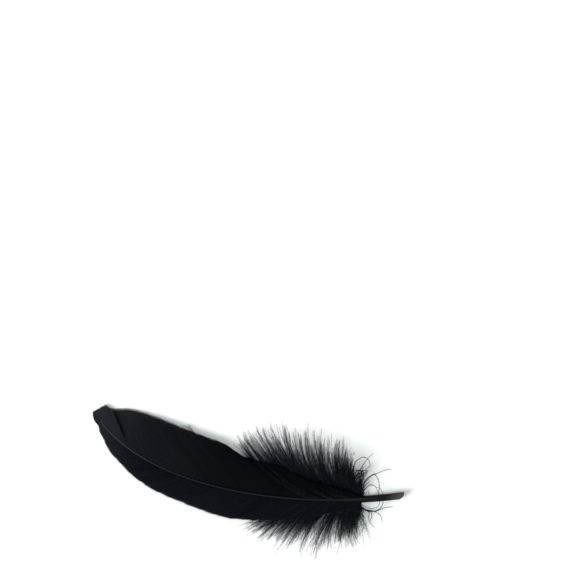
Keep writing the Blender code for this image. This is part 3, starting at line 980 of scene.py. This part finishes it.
def downy_barbs(rows, margin, lock, sizes, chance):
    """A lock's barbs: their paths, where they are hidden below the vane, and how full of barbules they are.

    The paths are (barbs, steps, 3), each point a share of the quill's length, an offset and a height.
    """
    numbered = np.column_stack((np.arange(len(rows)), rows))
    root, tip_share, tip_offset, bow, fullness = between(numbered, lock.place * (len(rows) - 1))
    count = lock.barbs
    above = chance.random() < lock.share_above
    length = sizes.quill_length
    foot = 1 - ease(0, FOOT_REACH, lock.place)
    start = np.stack((
        (root + chance.uniform(-ROOT_SPREAD, ROOT_SPREAD, count).clip(FIRST_BARB - root)) * length,
        np.full(count, ROOT_OFFSET),
    ), -1)[:, None]
    spread = lock.spread + FOOT_SPREAD * foot
    tip = np.array((tip_share * length, tip_offset * MM)) + chance.normal(0, spread, (count, 1, 2))
    shorter = 1 - BARB_SHORTNESS * chance.random((count, 1, 1)) ** 1.4
    reach = (tip - start) * (shorter * (1 - LOCK_SHORTNESS * chance.random() ** 2)) * lock.reach
    square = np.stack((reach[..., 1], -reach[..., 0]), -1)
    bows = bow + chance.normal(0, BOW_SPREAD + FOOT_BOWS * foot, (count, 1, 1))
    knee = start + reach / 2 + square * bows
    u = np.linspace(0, 1, DOWN_STEPS)[None, :, None]
    flat = start * (1 - u) ** 2 + knee * 2 * u * (1 - u) + (start + reach) * u * u
    waves = chance.uniform(0, 2 * np.pi, (count, 1, 1)) + u * chance.uniform(*WAVE_TURN, (count, 1, 1))
    wave = FOOT_WAVE + (TOP_WAVE - FOOT_WAVE) * ease(0, WAVE_REACH, lock.place)
    flat = flat + unit(square) * np.sin(waves) * wave * chance.uniform(*WAVE_SIZES, (count, 1, 1)) * u
    share, offset = flat[..., 0] / length, flat[..., 1]
    out = offset / np.maximum(margin_offset(margin, share), MM)
    free = ease(*CLEAR_OF_VANE, out) * ease(*CLEAR_ALONG, u[..., 0])
    beside = vane_height(margin, share, offset, sizes) + (ABOVE_VANE if above else -BELOW_VANE)
    low, high = TIP_HEIGHTS
    high = high * (1 - FOOT_LOWERING * foot)
    lock_height = low + (high - low) * chance.random() ** 1.3
    tip_height = lock_height + chance.normal(0, TIP_HEIGHT_SPREAD, (count, 1))
    height = beside * (1 - free) + tip_height.clip(low, high) * free
    fullness = np.full(count, fullness * lock.fullness * chance.uniform(*UNEVEN_FULLNESS))
    return np.stack((share, offset, height), -1), (out < HIDDEN_WITHIN) & (not above), fullness


Lock = namedtuple("Lock", "place barbs spread fullness reach share_above")


def down_layers(sizes, chance):
    """The locks of each layer of the down. Their place runs from 0 at the bare quill to 1 up the vane."""
    places = np.linspace(0, 1, sizes.down_locks)
    locks = [
        Lock(place, sizes.barbs_a_lock, LOCK_SPREAD, LOCK_FULLNESS, 1.0, SHARE_ABOVE) for place in places
    ]
    loose = [
        Lock(place, 1, LOOSE_SPREAD, LOOSE_FULLNESS, 1.0, SHARE_ABOVE)
        for place in chance.random(sizes.loose_barbs)
    ]
    strays = [
        Lock(place, 1, STRAY_SPREAD, STRAY_FULLNESS, STRAY_REACH, 0)
        for place in chance.random(sizes.stray_barbs)
    ]
    outer = sorted(locks + loose + strays)
    short_places = chance.random(sizes.short_barbs) ** 1.5
    reaches = chance.uniform(*SHORT_REACH, sizes.short_barbs)
    short = sorted(
        Lock(place, 1, LOOSE_SPREAD, SHORT_FULLNESS, reach, SHARE_ABOVE)
        for place, reach in zip(short_places, reaches)
    )
    third = len(outer) // 3
    return {
        "foot": outer[:third], "middle": outer[third:2 * third], "upper": outer[2 * third:], "short": short,
    }


def in_plan(paths, side, line):
    """Paths of share, offset and height as points."""
    return np.concatenate((line.plan(paths[..., 0], side * paths[..., 1]), paths[..., 2:]), -1)


def barbules(paths, hidden, fullness, lengths_share, sizes, chance):
    """The barbules of downy barbs, on both sides of their shafts."""
    steps = paths.shape[1]
    whole = np.linalg.norm(np.diff(paths, axis=1), axis=-1).sum(1)
    counts = np.maximum((whole / sizes.barbule_spacing * fullness).astype(int), FEWEST_BARBULES)
    strand = np.repeat(np.arange(len(paths)), counts)
    drawn = chance.random(counts.sum())
    at = FIRST_BARBULE + (1 - FIRST_BARBULE) * (1 - np.sqrt(1 - THINNING * (2 - THINNING) * drawn)) / THINNING
    spot = at * (steps - 1)
    i = np.minimum(spot.astype(int), steps - 2)
    kept = ~hidden[strand, i] | (chance.random(len(at)) < HIDDEN_FULLNESS)
    strand, at, i, spot = strand[kept], at[kept], i[kept], spot[kept]
    part = (spot - i)[:, None]
    starts = paths[strand, i] * (1 - part) + paths[strand, i + 1] * part
    along, level, raised = strand_frames(paths)
    one_side = chance.random(len(at)) < 0.5
    turn = np.where(one_side, 0, np.pi) + chance.normal(0, BARBULE_TURN_SPREAD, len(at))
    outward = level[strand, i] * np.cos(turn)[:, None] + raised[strand, i] * np.sin(turn)[:, None]
    lean = np.radians(chance.normal(BARBULE_LEAN, BARBULE_LEAN_SPREAD, len(at)))[:, None]
    ways = unit(along[strand, i] * np.cos(lean) + outward * np.sin(lean))
    size = between(BARBULE_SIZES, at)[0]
    lengths = sizes.barbule_length * size * chance.uniform(*UNEVEN_LENGTHS, len(at)) * lengths_share
    # None reaches below the surface
    ways[:, 2] = np.maximum(ways[:, 2], (LOWEST - starts[:, 2]) / lengths)
    ways[:, :2] = unit(ways[:, :2]) * np.sqrt(1 - ways[:, 2:] ** 2)
    widths = sizes.barbule_width * (THINNEST_BARBULE + (1 - THINNEST_BARBULE) * size)
    tones = PALEST_BARBULE * chance.random(len(at)) ** 1.5
    return needles(starts, ways, lengths, widths, tones, BARBULE_ROWS_FROM)


def barbs_and_barbules(paths, hidden, fullness, sizes, chance, widths=BAND_WIDTHS, lengths_share=1.0):
    """Downy barbs along these paths, with their barbules, as one batch."""
    paths[..., 2] = np.maximum(paths[..., 2], LOWEST_SHAFT)
    root_width, tip_width = widths
    inward = np.linspace(1, 0, paths.shape[1]) ** BAND_TAPER
    half = (tip_width + (root_width - tip_width) * inward)[None, :, None]
    tones = chance.uniform(0, PALEST_SHAFT, len(paths))
    shafts = bands(paths, half, half * BAND_THICKNESS, tones, BARB_ROWS)
    return joined((shafts, barbules(paths, hidden, fullness, lengths_share, sizes, chance)))


class FEATHER_OT_down(bpy.types.Operator):
    """Grow the locks of down on both sides of the foot of the vane"""

    bl_idname = "feather.down"
    bl_label = "Down"

    def execute(self, context):
        sizes = context.scene.feather_sizes
        line = QuillLine(sizes.quill_length)
        material = down_material(context.scene.feather_finish)
        for name, side, rows, margin in (
            ("down_wide", 1, WIDE_DOWN, WIDE_MARGIN), ("down_narrow", -1, NARROW_DOWN, NARROW_MARGIN),
        ):
            chance = np.random.default_rng(SEED * 7 + side)
            for layer, locks in down_layers(sizes, chance).items():
                laid = [downy_barbs(rows, margin, lock, sizes, chance) for lock in locks]
                paths, hidden, fullness = (np.concatenate(part) for part in zip(*laid))
                batch = barbs_and_barbules(in_plan(paths, side, line), hidden, fullness, sizes, chance)
                finish_piece(mesh_object(f"{name}_{layer}", *batch), material)
        return {"FINISHED"}


class FEATHER_OT_curls(bpy.types.Operator):
    """Lay the single barbs that curl away from the foot of the vane and stand off its edge"""

    bl_idname = "feather.curls"
    bl_label = "Curls"

    def execute(self, context):
        sizes = context.scene.feather_sizes
        line = QuillLine(sizes.quill_length)
        chance = np.random.default_rng(SEED)
        steps = np.linspace(0, 1, CURL_STEPS)
        paths = []
        for points in CURLS:
            numbered = np.column_stack((np.arange(len(points)), points))
            share, offset, height = between(numbered, steps * (len(points) - 1))
            paths.append(np.column_stack((line.plan(share, offset * MM), height * MM)))
        paths = np.array(paths)
        batch = barbs_and_barbules(
            paths, np.zeros(paths.shape[:2], bool), CURL_FULLNESS, sizes, chance, CURL_WIDTHS, CURL_BARBULES,
        )
        piece = mesh_object("curls", *batch)
        finish_piece(piece, down_material(context.scene.feather_finish))
        return {"FINISHED"}


# The stage

CAMERA_PLACE = (20.2 * MM, 99.3 * MM, 4000 * MM)
FRAME_WIDTH = 294.9 * MM
SENSOR_WIDTH = 36.0
FLOOR_SIZE = 6
FLOOR_ROUGHNESS = 0.9
FLOOR_SHINE = 0.1
NEAREST_SHOWN = 0.01
# Lamps that face the feather: (name, place in m, size in m, power in W)
LAMPS = (("key", (-1.45, -0.75, 0.8), 1.0, 50), ("fill", (0.7, 0.6, 1.4), 1.2, 5))
SKY_COLOUR = (0.94, 1, 0.985, 1)
SKY_STRENGTH = 0.56


def soft_light(name, place, size, power):
    """A square lamp at place that faces the feather."""
    bpy.ops.object.light_add(type="AREA", location=place)
    lamp = bpy.context.object
    lamp.name = name
    lamp.data.shape = "SQUARE"
    lamp.data.size = size
    lamp.data.energy = power
    lamp.visible_camera = False
    lamp.rotation_euler = (-Vector(place)).to_track_quat("-Z", "Y").to_euler()


class FEATHER_OT_stage(bpy.types.Operator):
    """Set the pale floor, the soft lights and the camera that looks straight down"""

    bl_idname = "feather.stage"
    bl_label = "Stage"

    def execute(self, context):
        scene = context.scene
        deselect_all()
        bpy.ops.mesh.primitive_plane_add(size=FLOOR_SIZE, location=(0, 0, 0))
        floor = context.object
        floor.name = "floor"
        paper, tree, shader = new_material("floor_paper")
        fill(tree, shader, {
            "Base Color": (*scene.feather_finish.floor_colour, 1),
            "Roughness": FLOOR_ROUGHNESS,
            "Specular IOR Level": FLOOR_SHINE,
        })
        floor.data.materials.append(paper)

        for lamp in LAMPS:
            soft_light(*lamp)
        world = bpy.data.worlds.new("studio")
        world.use_nodes = True
        sky = world.node_tree.nodes["Background"]
        fill(world.node_tree, sky, {"Color": SKY_COLOUR, "Strength": SKY_STRENGTH})
        scene.world = world
        scene.view_settings.view_transform = "Standard"

        bpy.ops.object.camera_add(location=CAMERA_PLACE, rotation=(0, 0, 0))
        camera = context.object
        camera.data.sensor_width = SENSOR_WIDTH
        camera.data.lens = SENSOR_WIDTH * CAMERA_PLACE[2] / FRAME_WIDTH
        camera.data.clip_start = NEAREST_SHOWN
        scene.camera = camera
        return {"FINISHED"}


class FEATHER_PT_panel(bpy.types.Panel):
    """Lists the feather's pieces and settings"""

    bl_idname = "FEATHER_PT_panel"
    bl_label = "Goose Feather"
    bl_space_type = "VIEW_3D"
    bl_region_type = "UI"
    bl_category = "Feather"

    def draw(self, context):
        layout = self.layout
        for operator in OPERATORS:
            layout.operator(operator.bl_idname)
        for group in (context.scene.feather_sizes, context.scene.feather_finish):
            for name in group.__annotations__:
                layout.prop(group, name)


OPERATORS = (FEATHER_OT_quill, FEATHER_OT_vane, FEATHER_OT_down, FEATHER_OT_curls, FEATHER_OT_stage)
CLASSES = (FeatherSizes, FeatherFinish, *OPERATORS, FEATHER_PT_panel)


def register():
    for cls in CLASSES:
        bpy.utils.register_class(cls)
    bpy.types.Scene.feather_sizes = bpy.props.PointerProperty(type=FeatherSizes)
    bpy.types.Scene.feather_finish = bpy.props.PointerProperty(type=FeatherFinish)


def unregister():
    del bpy.types.Scene.feather_finish
    del bpy.types.Scene.feather_sizes
    for cls in reversed(CLASSES):
        bpy.utils.unregister_class(cls)


def main():
    register()
    bpy.ops.feather.quill()
    bpy.ops.feather.vane()
    bpy.ops.feather.down()
    bpy.ops.feather.curls()
    bpy.ops.feather.stage()


if __name__ == "__main__":
    main()
